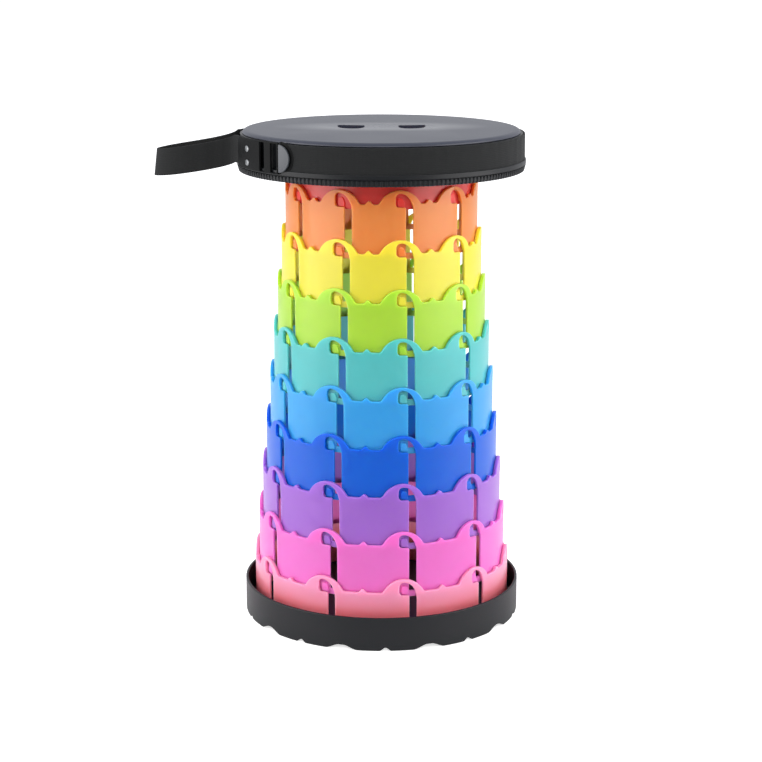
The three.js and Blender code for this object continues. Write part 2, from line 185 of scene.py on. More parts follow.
class Finish(Nodes):
    """A material: one shader, and what feeds it."""

    def __init__(self, name, base, roughness, **sockets):
        self.material = bpy.data.materials.new(name)
        self.material.use_nodes = True
        super().__init__(self.material.node_tree)
        self.shader = self.tree.nodes["Principled BSDF"]
        self.shader.inputs["Base Color"].default_value = (*base, 1)
        self.shader.inputs["Roughness"].default_value = roughness
        for socket, value in sockets.items():
            self.shader.inputs[socket.replace("_", " ")].default_value = value

    def colour(self, socket):
        self.feed(self.shader.inputs["Base Color"], socket)

    def rough(self, value):
        self.feed(self.shader.inputs["Roughness"], value)

    def bump(self, height, strength, distance):
        node = self.node("ShaderNodeBump", Strength=strength, Distance=distance, Height=height)
        self.tree.links.new(node.outputs["Normal"], self.shader.inputs["Normal"])


def linear(red, green, blue):
    """A colour as seen on screen, 0 to 255, in the linear values that a shader takes."""
    def one(level):
        share = level / 255
        return share / 12.92 if share <= 0.04045 else ((share + 0.055) / 1.055) ** 2.4
    return one(red), one(green), one(blue)


# %% [markdown]
# ## Light
# The stool stands in a white room between two big soft lights, one at each side and a little in
# front. They brighten the sides of the rings and leave the middle of the front deeper in
# colour, because what the middle mirrors is the dim end of the room behind the camera. A third
# light hangs high in front: it brightens the front, but the upright walls don't mirror it to
# the camera. Area lights do this better than the sky alone, which would make the rings look
# flat. The white that the camera sees is switched in by the kind of ray, so it costs the stool
# no extra light.

# %% Soft lights, in metres
SIDE_AZIMUTH = 66
SIDE_LIGHT = {"distance": 1.35, "width": 1.4, "height": 1.3, "foot": 0.02, "level": 3.2}
FRONT_LIGHT = {"distance": 1.6, "width": 1.6, "height": 0.7, "foot": 0.75, "level": 4.2}
LIGHT_COLOUR = (1.0, 0.97, 0.96)


def soft_light(name, azimuth, distance, width, height, foot, level):
    """An upright light that faces the axis from an azimuth. Its lower edge is at the foot."""
    data = bpy.data.lights.new(name, "AREA")
    data.shape = "RECTANGLE"
    data.size = width
    data.size_y = height
    data.energy = level * math.pi * width * height
    data.color = LIGHT_COLOUR
    angle = math.radians(azimuth)
    light = bpy.data.objects.new(name, data)
    light.location = (distance * math.sin(angle), -distance * math.cos(angle), height / 2 + foot)
    light.rotation_euler = (math.pi / 2, 0, angle)
    scene.collection.objects.link(light)
    print(name, "watts:", round(data.energy, 1))


scene.view_settings.view_transform = "Standard"
soft_light("left_light", -SIDE_AZIMUTH, **SIDE_LIGHT)
soft_light("right_light", SIDE_AZIMUTH, **SIDE_LIGHT)
soft_light("front_light", 0, **FRONT_LIGHT)

# %% A white room with a dim front end
ROOM_COLOUR = (0.95, 0.96, 1.0, 1)
ROOM_DIM = 0.12
ROOM_DIM_UP_TO = -0.75
ROOM_BRIGHT_FROM = -0.1
ROOM_SEEN = 1.1


def seen_directly(nodes, rays):
    """One for rays that come from the camera, straight or through something clear."""
    camera_ray = nodes.value(rays, "Is Camera Ray")
    return nodes.math("MAXIMUM", camera_ray, nodes.value(rays, "Is Transmission Ray"))


world = bpy.data.worlds.new("white_room")
world.use_nodes = True
scene.world = world
room = Nodes(world.node_tree)
room_seen = seen_directly(room, room.node("ShaderNodeLightPath"))
direction = room.node("ShaderNodeSeparateXYZ", Vector=room.place("Generated"))
depth_into_room = room.value(direction, "Y")
room_level = room.eased(depth_into_room, ROOM_DIM_UP_TO, ROOM_BRIGHT_FROM, ROOM_DIM, 1.0)
background = world.node_tree.nodes["Background"]
background.inputs["Color"].default_value = ROOM_COLOUR
strength = room.math("MAXIMUM", room_level, ROOM_SEEN * room_seen)
room.feed(background.inputs["Strength"], strength)

# %% [markdown]
# ## Ring plastic
# The rings are moulded from bright plastic that lets a little light through, with a soft sheen.
# Light that scatters below the surface makes the thin edges glow and fills the slots with deep
# colour. The rest is in the surface: faint clouds, fine grain in the gloss and very slight waves
# from the mould. One function makes the finish and each ring gives its colour.

# %% Ten ring colours
RING_COLOURS = {
    1: ("red", (255, 64, 58)),
    2: ("orange", (249, 132, 64)),
    3: ("yellow", (255, 221, 62)),
    4: ("lime", (162, 213, 57)),
    5: ("aqua", (82, 183, 184)),
    6: ("sky", (50, 152, 234)),
    7: ("royal", (0, 90, 206)),
    8: ("violet", (151, 99, 197)),
    9: ("pink", (247, 105, 190)),
    10: ("salmon", (253, 140, 176)),
}
# Painted shade: the salmon ring is painted a deeper red towards its lower end, next to the base
SALMON_PAINTED_SHADE = (250, 112, 122)
PAINTED_SHADE_TOP = 50
PAINTED_SHADE_BLEND = 20
SCATTER_DEPTH = 9
RING_CLOUDS, RING_WAVES, RING_GRAIN = 18, 45, 900  # noise cells in a metre


def ring_plastic(name, colour, foot=None):
    """A ring's plastic. A foot colour takes over towards the ring's lower end: painted shade, a
    deeper red next to the base.
    """
    base = linear(*colour)
    finish = Finish(
        f"{name}_plastic",
        base,
        0.3,
        Specular_IOR_Level=0.4,
        Subsurface_Weight=1.0,
        Subsurface_Radius=(1.0, 1.0, 1.0),
        Subsurface_Scale=SCATTER_DEPTH * MM,
    )
    cloud = finish.noise(RING_CLOUDS, 3)
    paler = tuple(min(1.0, c * 1.06 + 0.004) for c in base)
    deeper = tuple(c * 0.94 for c in base)
    body = finish.mix(cloud, (*deeper, 1), (*paler, 1))
    # The foot colour is painted shade, blended in below a height
    if foot:
        spot = finish.node("ShaderNodeSeparateXYZ", Vector=finish.place())
        below = PAINTED_SHADE_TOP * MM - finish.value(spot, "Z")
        share = finish.math("MULTIPLY", below, 1 / (PAINTED_SHADE_BLEND * MM), clamp=True)
        body = finish.mix(share, body, (*linear(*foot), 1))
    finish.colour(body)
    grain = finish.noise(RING_GRAIN, 2)
    finish.rough(0.24 + 0.06 * cloud + 0.05 * grain)
    waves = finish.noise(RING_WAVES, 1)
    finish.bump(0.8 * waves + 0.2 * grain, 0.06, 0.6 * MM)
    return finish.material


ring_finishes = {
    ring: ring_plastic(name, colour, SALMON_PAINTED_SHADE if name == "salmon" else None)
    for ring, (name, colour) in RING_COLOURS.items()
}
print("ring finishes:", len(ring_finishes))

# %% [markdown]
# ## Black and grey plastic
# The base, the seat's rim and the lid are the same moulded plastic in black and in charcoal,
# with the fine leather-like grain that such parts get from an etched mould. The grain is a bump
# with a few sizes of noise. The lid looks grey only because it is seen at a low angle, where
# plastic mirrors the white room, so its own colour stays dark. Inside its oval hollow the lid
# is worn smoother. The buckle is duller than the other black parts.

# %% Grained plastics
DISH = (104, 43.6, 6)  # half sizes of the flattened ball that hollows the lid, in millimetres
HOLE_SHIFT = 10  # how far behind the axis the hollow and the finger holes lie
POLISHED_SHARE = 0.93
POLISHED_SLOPE = 2.2
PLASTIC_CLOUDS, COARSE_GRAIN, FINE_GRAIN = 12, 520, 1500


def grained_plastic(name, colour, roughness, grain, gloss=0.5, polished=None):
    """A plastic with an etched grain. A polished roughness holds inside the lid's oval hollow."""
    base = linear(*colour)
    finish = Finish(name, base, roughness, Specular_IOR_Level=gloss)
    cloud = finish.noise(PLASTIC_CLOUDS, 3)
    darker = tuple(c * 0.88 for c in base)
    lighter = tuple(c * 1.14 for c in base)
    finish.colour(finish.mix(cloud, (*darker, 1), (*lighter, 1)))
    fine = finish.noise(FINE_GRAIN, 2)
    coarse = finish.noise(COARSE_GRAIN, 2)
    rough = roughness - 0.05 + 0.1 * cloud
    if polished is not None:
        spot = finish.node("ShaderNodeSeparateXYZ", Vector=finish.place())
        x = finish.value(spot, "X") / (DISH[0] * POLISHED_SHARE * MM)
        y = (finish.value(spot, "Y") - HOLE_SHIFT * MM) / (DISH[1] * POLISHED_SHARE * MM)
        from_edge = 1 - (x * x + y * y) ** 0.5
        inside = finish.math("MULTIPLY", from_edge, POLISHED_SLOPE, clamp=True)
        rough = rough + (polished - roughness) * inside
    finish.rough(rough)
    finish.bump(0.6 * fine + 0.4 * coarse, grain, 0.3 * MM)
    return finish.material


black_plastic = grained_plastic("black_plastic", (11, 15, 19), 0.42, 0.25, gloss=0.31)
buckle_plastic = grained_plastic("buckle_plastic", (9, 11, 12), 0.6, 0.3, gloss=0.12)
lid_plastic = grained_plastic("lid_plastic", (42, 47, 62), 0.41, 0.3, polished=0.28)
tab_plastic = grained_plastic("tab_plastic", (63, 67, 73), 0.4, 0.15)
print("plastics:", [m.name for m in (black_plastic, buckle_plastic, lid_plastic, tab_plastic)])

# %% [markdown]
# ## Metal
# The two small studs on the buckle are grey metal with a soft shine. Fine noise in the
# roughness stands for the small scratches that blur what they mirror.

# %% Stud metal
SCRATCHES = 400

metal = Finish("stud_metal", linear(140, 143, 145), 0.4, Metallic=1.0)
metal.rough(0.36 + 0.12 * metal.noise(SCRATCHES, 4))
stud_metal = metal.material
print("metal:", stud_metal.name)

# %% [markdown]
# ## Webbing
# The strap is woven webbing: rows of small slanted stitches along its length. Each strap piece
# carries its own map, in millimetres along and across, so the weave follows the bends. A
# picture of real webbing would also do, but waves stay sharp from near by. Slanted waves that
# swing back from row to row make the herringbone. The colour follows the waves: painted shade
# darkens the grooves between the stitches and painted light brightens their tops, and fine
# noise adds the fibres' own uneven tone.

# %% Woven webbing
WEB_ROW = 1.5
WEB_STITCH = 1.1
WEB_FUZZ = 1400
WEB_SHADE_AND_DARK_FIBRE = (*linear(6, 7, 7), 1)
WEB_LIGHT_AND_PALE_FIBRE = (*linear(33, 35, 36), 1)

weave = Finish(
    "webbing",
    linear(24, 25, 25),
    0.8,
    Specular_IOR_Level=0.25,
    Sheen_Weight=0.05,
    Sheen_Roughness=0.4,
)
web_map = weave.node("ShaderNodeSeparateXYZ", Vector=weave.place("UV"))
along = weave.value(web_map, "X")
across = weave.value(web_map, "Y")
row = weave.math("PINGPONG", across / WEB_ROW, 1.0)
stitch = weave.math("SINE", (along / WEB_STITCH + row * 0.5) * (2 * math.pi))
thread = weave.math("ABSOLUTE", weave.math("SINE", across / WEB_ROW * math.pi))
relief = 0.5 + 0.3 * stitch * thread + 0.2 * thread
fuzz = weave.noise(WEB_FUZZ, 2)
# Painted shade in the weave's grooves and painted light on the raised stitches, plus the fibres'
# own uneven tone
weave.colour(weave.mix(relief * 0.7 + fuzz * 0.3, WEB_SHADE_AND_DARK_FIBRE, WEB_LIGHT_AND_PALE_FIBRE))
weave.rough(0.72 + 0.2 * fuzz)
weave.bump(relief + 0.3 * fuzz, 0.5, 0.4 * MM)
webbing = weave.material
print("webbing rows:", WEB_ROW, "mm, stitches:", WEB_STITCH, "mm")

# %% [markdown]
# ## Turning, cutting and rolling
# Three ways of making cover nearly the whole stool. A round body is turned, the way a potter would:
# one circle, pulled up and in and down again. What repeats round it is an outline given depth,
# copied round, and cut out or added. A wall full of windows is cut flat first, its edges are
# rounded while it is flat, and then it is rolled up: rounding a curved wall that has already
# been cut leaves creases, because the round has to cross the wall's facets. The lid's hollow
# and the studs start as flattened balls.

# %% Select one piece


def only(piece):
    """Makes a piece the one that is selected and active."""
    bpy.ops.object.select_all(action="DESELECT")
    piece.select_set(True)
    bpy.context.view_layer.objects.active = piece


# %% Turn a profile
FACETS = 240


def turned(name, profile, capped=False):
    """A closed wall from a closed profile, or a body capped at the profile's two ends."""
    radius, height = profile[0]
    bpy.ops.mesh.primitive_circle_add(
        vertices=FACETS,
        radius=radius * MM,
        location=(0, 0, height * MM),
        fill_type="NGON" if capped else "NOTHING",
    )
    piece = bpy.context.object
    piece.name = name
    bpy.ops.object.transform_apply(location=True, rotation=True, scale=True)
    bpy.ops.object.mode_set(mode="EDIT")
    bpy.ops.mesh.select_mode(type="EDGE")
    bpy.ops.mesh.select_all(action="SELECT")
    for (before, low), (after, high) in zip(profile, profile[1:]):
        bpy.ops.mesh.extrude_region_move()
        if high != low:
            bpy.ops.transform.translate(value=(0, 0, (high - low) * MM))
        if after != before:
            share = after / before
            bpy.ops.transform.resize(value=(share, share, 1), center_override=(0, 0, 0))
    if not capped:
        bpy.ops.mesh.select_all(action="DESELECT")
        bpy.ops.mesh.select_non_manifold()
        bpy.ops.mesh.bridge_edge_loops()
    bpy.ops.mesh.select_all(action="SELECT")
    bpy.ops.mesh.normals_make_consistent(inside=False)
    bpy.ops.object.mode_set(mode="OBJECT")
    return piece


# %% Give an outline depth
SAME_POINT = 1e-6


def plate(name, outline, near, far, holes=(), upright=True):
    """An upright plate from near to far in front of the axis, or one in plan from low to high."""
    curve = bpy.data.curves.new(name, "CURVE")
    curve.dimensions = "2D"
    curve.fill_mode = "BOTH"
    curve.extrude = (far - near) / 2 * MM
    for closed_line in (outline, *holes):
        spline = curve.splines.new("POLY")
        spline.points.add(len(closed_line) - 1)
        spline.use_cyclic_u = True
        for point, (across_mm, height) in zip(spline.points, closed_line):
            point.co = (across_mm * MM, height * MM, 0, 1)
    piece = bpy.data.objects.new(name, curve)
    scene.collection.objects.link(piece)
    only(piece)
    bpy.ops.object.convert(target="MESH")
    piece = bpy.context.object
    middle = (near + far) / 2 * MM
    if upright:
        piece.rotation_euler = (math.pi / 2, 0, 0)
        piece.location = (0, -middle, 0)
    else:
        piece.location = (0, 0, middle)
    bpy.ops.object.transform_apply(location=True, rotation=True, scale=True)
    bpy.ops.object.mode_set(mode="EDIT")
    bpy.ops.mesh.select_all(action="SELECT")
    bpy.ops.mesh.remove_doubles(threshold=SAME_POINT)
    bpy.ops.mesh.normals_make_consistent(inside=False)
    bpy.ops.object.mode_set(mode="OBJECT")
    return piece


# %% Flatten a ball


def flattened_ball(name, size, place, segments, rings):
    """A ball with its half sizes and its centre in millimetres."""
    bpy.ops.mesh.primitive_uv_sphere_add(segments=segments, ring_count=rings, radius=MM)
    ball = bpy.context.object
    ball.name = name
    ball.scale = size
    ball.location = [value * MM for value in place]
    bpy.ops.object.transform_apply(location=True, rotation=True, scale=True)
    return ball


# %% Copy round the axis, and cut or add


def copied_round(piece, azimuths, name, seam=0.0):
    """Copies turned about the axis and joined. Points within the seam's distance are merged."""
    copies = []
    for azimuth in azimuths:
        copy = bpy.data.objects.new(name, piece.data.copy())
        copy.data.transform(Matrix.Rotation(azimuth, 4, "Z"))
        scene.collection.objects.link(copy)
        copies.append(copy)
    bpy.data.objects.remove(piece)
    only(copies[0])
    for copy in copies:
        copy.select_set(True)
    bpy.ops.object.join()
    joined = bpy.context.object
    joined.name = name
    if seam:
        bpy.ops.object.mode_set(mode="EDIT")
        bpy.ops.mesh.select_all(action="SELECT")
        bpy.ops.mesh.remove_doubles(threshold=seam * MM)
        bpy.ops.object.mode_set(mode="OBJECT")
    return joined


def combine(piece, tool, operation="DIFFERENCE"):
    """Cuts the tool from the piece, or adds it, and throws the tool away."""
    only(piece)
    modifier = piece.modifiers.new("combine", "BOOLEAN")
    modifier.operation = operation
    modifier.object = tool
    modifier.solver = "MANIFOLD"
    bpy.ops.object.modifier_apply(modifier=modifier.name)
    bpy.data.objects.remove(tool)


# %% Round the edges of a flat piece
SHARP = math.cos(math.radians(35))
FLAT = math.radians(0.5)
CLOSE = 0.01  # millimetres that count as none


def picked(piece, kind, wanted):
    """Selects the edges or faces that are wanted, and leaves the piece in edit mode."""
    only(piece)
    bpy.ops.object.mode_set(mode="EDIT")
    bpy.ops.mesh.select_mode(type=kind)
    bpy.ops.mesh.select_all(action="DESELECT")
    bpy.ops.object.mode_set(mode="OBJECT")
    items = piece.data.edges if kind == "EDGE" else piece.data.polygons
    chosen = [item.index for item in items if wanted(item)]
    for index in chosen:
        items[index].select = True
    bpy.ops.object.mode_set(mode="EDIT")


def rounded_edges(piece, width, wanted, segments=2):
    """Rounds the sharp edges whose two ends, in millimetres, are wanted."""
    only(piece)
    bpy.ops.object.mode_set(mode="EDIT")
    bpy.ops.mesh.select_all(action="SELECT")
    bpy.ops.mesh.dissolve_limited(angle_limit=FLAT)
    bpy.ops.object.mode_set(mode="OBJECT")
    mesh = piece.data
    normals = {}
    for face in mesh.polygons:
        for key in face.edge_keys:
            normals.setdefault(key, []).append(face.normal.copy())
    points = [vertex.co / MM for vertex in mesh.vertices]

    def sharp_and_wanted(edge):
        sides = normals.get(edge.key, [])
        sharp = len(sides) == 2 and sides[0].dot(sides[1]) < SHARP
        return sharp and wanted(*(points[v] for v in edge.vertices))

    picked(piece, "EDGE", sharp_and_wanted)
    bpy.ops.mesh.bevel(offset=width * MM, segments=segments, affect="EDGES", clamp_overlap=False)
    bpy.ops.object.mode_set(mode="OBJECT")


# %% Roll a flat piece up
ON_THE_CUT = 2e-5


def rolled(piece, radius, columns, open_ends=False):
    """Slices a flat piece into columns and bends it, its front face at the radius."""
    only(piece)
    across_mm = [vertex.co.x / MM for vertex in piece.data.vertices]
    left, right = min(across_mm), max(across_mm)
    bpy.ops.object.mode_set(mode="EDIT")
    for i in range(1, columns):
        bpy.ops.mesh.select_all(action="SELECT")
        cut_at = (left + (right - left) * i / columns) * MM
        bpy.ops.mesh.bisect(plane_co=(cut_at, 0, 0), plane_no=(1, 0, 0), threshold=ON_THE_CUT)
    bpy.ops.object.mode_set(mode="OBJECT")
    if open_ends:

        def end_face(face):
            middle = face.center.x / MM
            return abs(face.normal.x) > 0.99 and min(middle - left, right - middle) < CLOSE

        picked(piece, "FACE", end_face)
        bpy.ops.mesh.delete(type="FACE")
        bpy.ops.object.mode_set(mode="OBJECT")
    modifier = piece.modifiers.new("rolled", "SIMPLE_DEFORM")
    modifier.deform_method = "BEND"
    modifier.deform_axis = "Z"
    modifier.angle = (right - left) / radius
    bpy.ops.object.modifier_apply(modifier=modifier.name)
    piece.location = (0, -radius * MM, 0)
    bpy.ops.object.transform_apply(location=True, rotation=False, scale=False)


# %% Shade a cut wall and finish a piece
WALL_FACING = 0.985
ROUND_FACING = 0.6


def round_normals(piece):
    """Wall faces shade as a true cylinder, so that a cut in a wall leaves no streaks below it."""
    mesh = piece.data
    normals = [corner.vector.copy() for corner in mesh.corner_normals]
    flat = Vector((1, 1, 0))
    outward = [(mesh.vertices[loop.vertex_index].co * flat).normalized() for loop in mesh.loops]
    walls = {}
    for face in mesh.polygons:
        for i in face.loop_indices:
            facing = face.normal.dot(outward[i])
            if abs(facing) > WALL_FACING:
                normals[i] = outward[i] * math.copysign(1, facing)
                walls[mesh.loops[i].vertex_index] = normals[i]
    for face in mesh.polygons:
        for i in face.loop_indices:
            wall = walls.get(mesh.loops[i].vertex_index)
            if wall and ROUND_FACING < face.normal.dot(wall) <= WALL_FACING:
                normals[i] = wall
    mesh.normals_split_custom_set([tuple(normal) for normal in normals])


def finished(piece, body, material, slot, *nodes, angle=30, cut_wall=False):
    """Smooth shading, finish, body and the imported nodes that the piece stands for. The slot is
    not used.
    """
    only(piece)
    bpy.ops.object.shade_smooth_by_angle(angle=math.radians(angle))
    if cut_wall:
        round_normals(piece)
    piece.data.materials.clear()
    piece.data.materials.append(material)
    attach(piece, body)
    if nodes:
        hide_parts(*nodes)
    print(piece.name, "faces:", len(piece.data.polygons))


# %% [markdown]
# ## The rings
# Each ring's top edge runs in ten arches with dips between them. Under each arch is a window
# shaped like a hook: an upright slot, and a pocket to its left where the next ring's peg
# rests. The wall is thicker from the windows up. One tenth of the ring is enough to draw: a
# flat panel from the middle of one dip to the middle of the next. It gets its window, its peg
# and its rounded edges, is rolled to the ring's radius, and ten copies close the ring.

# %% Sizes of the rings, in millimetres
RING_COUNT = 10
SLOT_COUNT = 10
OUTER_RADIUS = 115.9
RING_STEP = 3.85
STAGE_PITCH = 41.8
LOWEST_DIP = 50
STAGE_OVERLAP = 5.2
WALL = 2  # below the windows; from there up the wall is a thicker collar
COLLAR_CLEARANCE = 0.5
PEG_CLEARANCE = 0.35
REST_GAP = 0.3
ARCH_RISE = 11.5
ARCH_RADIUS = 20
ARCH_CROWN = 1.5
DIP_DEPTH = 0.5
SLOT_WIDTH = 6.8
HOOP = 5.2  # the closed strip below the slots
POCKET_CENTRE = 8.4
POCKET_HALF = 4.1
POCKET_DEPTH = 3.1
ARCH_STRIP = 2.7
HOOK_DROP = 4  # from the pocket's floor down to where the slot's round side begins
COLLAR_LIFT = 0.6
TRAY_FLOOR = 4.2
TOP_RING_HEIGHT = 57.1
SECTOR = 2 * math.pi / SLOT_COUNT
PEG_WIDTH = 6.1
PEG_HEIGHT = 7.6
PEG_SHIFT = 1.3
PEG_ROOT = 1.2  # how deep a peg starts inside the wall
SLOT_AZIMUTH = 13.8
SLOT_LEAN = 0.33
EDGE_ROUND = 0.45
PANEL_COLUMNS = 20
BEYOND = 5  # how far a cut reaches past the piece
NEARLY = 0.1  # how far from its place an edge is still looked for


def ring_radius(ring):
    """The outside radius. Ring 10 is the widest, ring 1 the narrowest."""
    return OUTER_RADIUS - (RING_COUNT - ring) * RING_STEP


def dip_level(ring):
    """The height of the dips between a ring's arches."""
    return LOWEST_DIP + (RING_COUNT - ring) * STAGE_PITCH


def slot_azimuth(ring):
    """Where a ring's slot stands. The slots lean a little from ring to ring."""
    return math.radians(SLOT_AZIMUTH + SLOT_LEAN * (RING_COUNT - ring))


def panel_azimuth(ring):
    """The middle of an arch, which is the middle of its window's pocket."""
    return slot_azimuth(ring) - POCKET_CENTRE / ring_radius(ring)


def ring_bottom(ring):
    """A ring's lower end: in the tray, or a little below the dips of the ring around it."""
    if ring == RING_COUNT:
        return TRAY_FLOOR + REST_GAP
    return dip_level(ring + 1) - STAGE_OVERLAP


print("ring radii:", [round(ring_radius(ring), 2) for ring in RING_COLOURS])

# %% Outlines of a window, a panel and a peg


def arc(centre_x, centre_y, radius_x, radius_y, start, end, steps):
    """Points along part of an ellipse, between two angles in degrees."""
    points = []
    for i in range(steps + 1):
        angle = math.radians(start + (end - start) * i / steps)
        x = centre_x + radius_x * math.cos(angle)
        y = centre_y + radius_y * math.sin(angle)
        points.append((x, y))
    return points


def box(half, low, high):
    """A rectangle about the middle, from a lower to a higher level."""
    return [(-half, low), (half, low), (half, high), (-half, high)]


def corner(centre_x, centre_y, radius, start, steps):
    """A quarter of a circle, anticlockwise from an angle in degrees."""
    return arc(centre_x, centre_y, radius, radius, start, start + 90, steps)


POCKET_ROOF = 4.6
POCKET_CORNER = 3.4
SILL_CORNER = 1.1
SLOT_CORNER = 1


def window_outline(ring):
    """The slot's right side and roof, the pocket's left side and floor, then down the slot."""
    floor = dip_level(ring) - POCKET_DEPTH
    springing = floor - HOOK_DROP
    crown = dip_level(ring) + ARCH_RISE - ARCH_STRIP
    near_side = POCKET_CENTRE - SLOT_WIDTH / 2
    far_side = POCKET_CENTRE + SLOT_WIDTH / 2
    low = ring_bottom(ring) + HOOP
    outline = arc(0, springing, far_side, crown - springing, 0, 90, 14)
    outline += arc(0, crown - POCKET_ROOF, POCKET_HALF, POCKET_ROOF, 90, 180, 7)[1:]
    outline += corner(POCKET_CORNER - POCKET_HALF, floor + POCKET_CORNER, POCKET_CORNER, 180, 6)
    outline += arc(near_side - SILL_CORNER, floor - SILL_CORNER, SILL_CORNER, SILL_CORNER, 90, 0, 4)
    outline += corner(near_side + SLOT_CORNER, low + SLOT_CORNER, SLOT_CORNER, 180, 3)
    outline += corner(far_side - SLOT_CORNER, low + SLOT_CORNER, SLOT_CORNER, 270, 3)
    return outline


NIB_HEIGHT = 2.9
NIB_SHAPE = [(0, 0), (0.7, 0.02), (1.4, 0.2), (2.1, 0.47), (2.9, 0.73), (3.8, 0.92), (4.9, 1)]
DIP_ROUND = 2.4
ARCH_STEPS = 12


def panel_outline(ring):
    """A tenth of a ring, unrolled. Its top edge has half a dip at each side and an arch between.

    From a dip's middle: a low nib, the dip's floor, a round corner, and the arch's flank.
    """
    half = ring_radius(ring) * SECTOR / 2
    if ring == 1:
        return box(half, ring_bottom(1), ring_bottom(1) + TOP_RING_HEIGHT)
    top = dip_level(ring) + ARCH_RISE
    bottom = dip_level(ring) - DIP_DEPTH
    first = math.asin(ARCH_CROWN / 2 / ARCH_RADIUS)
    last = math.acos(1 - (top - bottom - DIP_ROUND * 0.7) / ARCH_RADIUS)
    foot = half - ARCH_RADIUS * math.sin(last)
    crown = bottom + NIB_HEIGHT
    edge = [(along_mm, crown - NIB_HEIGHT * drop) for along_mm, drop in NIB_SHAPE]
    edge += [(foot - DIP_ROUND, bottom), (foot - DIP_ROUND * 0.45, bottom + DIP_ROUND * 0.2)]
    for i in range(ARCH_STEPS + 1):
        angle = last + (first - last) * i / ARCH_STEPS
        below_top = ARCH_RADIUS * (1 - math.cos(angle))
        edge.append((half - ARCH_RADIUS * math.sin(angle), top - below_top))
    right = [(half - along_mm, height) for along_mm, height in edge]
    left = [(-across_mm, height) for across_mm, height in reversed(right)]
    return [(-half, ring_bottom(ring)), (half, ring_bottom(ring))] + right + left


def peg_outline(ring, middle):
    """Upright on the left, rounded on top, and slanting on the right, where it slides in."""
    floor = dip_level(ring) - POCKET_DEPTH + REST_GAP
    half = PEG_WIDTH / 2
    top = floor + PEG_HEIGHT
    low_left, low_right, top_right, top_left = 1.6, 0.8, 2.2, 1.7
    outline = corner(low_left - half, floor + low_left, low_left, 180, 4)
    outline += corner(half - low_right, floor + low_right, low_right, 270, 3)
    outline += [(half - 0.1, floor + 2.8), (half - 0.6, floor + 4.6)]
    outline += arc(half - top_right - 1, top - top_right, top_right, top_right, 15, 90, 4)
    outline += corner(top_left - half, top - top_left, top_left, 90, 4)
    return [(middle + across_mm, height) for across_mm, height in outline]


# %% Make a ring


def make_ring(ring):
    """A panel with its window and peg, its edges rounded, rolled up and copied ten times."""
    outside = ring_radius(ring)
    half = outside * SECTOR / 2
    bottom = ring_bottom(ring)
    name, _ = RING_COLOURS[ring]
    collar_depth = RING_STEP - COLLAR_CLEARANCE
    depth = WALL if ring == 1 else collar_depth
    holes = [] if ring == 1 else [window_outline(ring)]
    panel = plate(f"{name}_ring", panel_outline(ring), -depth, 0, holes)
    if ring > 1:
        collar = dip_level(ring) - POCKET_DEPTH + COLLAR_LIFT
        outline = box(half + BEYOND, bottom - BEYOND, collar)
        combine(panel, plate("thinned", outline, -collar_depth - BEYOND, -WALL))
    if ring < RING_COUNT:
        around = ring_radius(ring + 1)
        turn = slot_azimuth(ring + 1) + (PEG_SHIFT - POCKET_CENTRE) / around - panel_azimuth(ring)
        reach = around - WALL - PEG_CLEARANCE - outside
        peg = plate("peg", peg_outline(ring + 1, turn * outside), -PEG_ROOT, reach)
        combine(panel, peg, "UNION")
    rim_level = bottom + 1 if ring == 1 else dip_level(ring) - DIP_DEPTH - NEARLY

    def wanted(a, b):
        along_wall = abs(a.y - b.y) < CLOSE
        at_front = a.y < WALL - NEARLY
        at_top = min(a.z, b.z) > rim_level
        at_side = min(abs(a.x), abs(b.x)) > half - CLOSE
        return along_wall and (at_front or at_top) and not at_side

    rounded_edges(panel, EDGE_ROUND, wanted)
    rolled(panel, outside, PANEL_COLUMNS, open_ends=True)
    turns = [panel_azimuth(ring) + i * SECTOR for i in range(SLOT_COUNT)]
    wall = copied_round(panel, turns, f"{name}_ring", seam=CLOSE)
    body = {RING_COUNT: "base", 1: "seat"}.get(ring, f"stage_{ring:02d}")
    finished(wall, body, ring_finishes[ring], f"{name}_plastic", f"ring_{ring:02d}", cut_wall=True)


for ring in range(RING_COUNT, 0, -1):
    make_ring(ring)

# %% [markdown]
# ## Base
# A shallow tray: a plain outer wall, a floor with a low kerb round the widest ring, and a foot
# of ten pairs of pads. The tray is turned in one go, and the openings in its foot are cut: a
# wide gap between two pairs, higher at the outer wall than under the floor, and a small notch
# that parts each pair.

# %% Base
BASE_RADIUS = 125
BASE_INSIDE = 122.6
BASE_HEIGHT = 30
TRAY_UNDERSIDE = 2
LOW_ROUND = 0.7
TOP_ROUND = 0.9
PAD_RADIUS = 24
KERB_OUTSIDE, KERB_INSIDE, KERB_TOP, KERB_CHAMFER = 118.36, 116.56, 12.2, 0.4
FOOT_INSIDE, FOOT_CHAMFER = 110.4, 0.3
FOOT_TURN = math.radians(1.6)
FOOT_COUNT = 10
GAP_HALF, GAP_HEIGHT, GAP_INSIDE_HEIGHT = 16, 4.6, 3.3
NOTCH_HALF, NOTCH_HEIGHT = 5.6, 3.1
BELOW_FOOT = -0.6
PAST_FOOT = 2  # how far an opening's cut reaches past the foot, inwards and outwards
GAP_STEP = 0.15  # how far outside the tray's bore a gap grows to its full height
WAVE_STEPS = 12

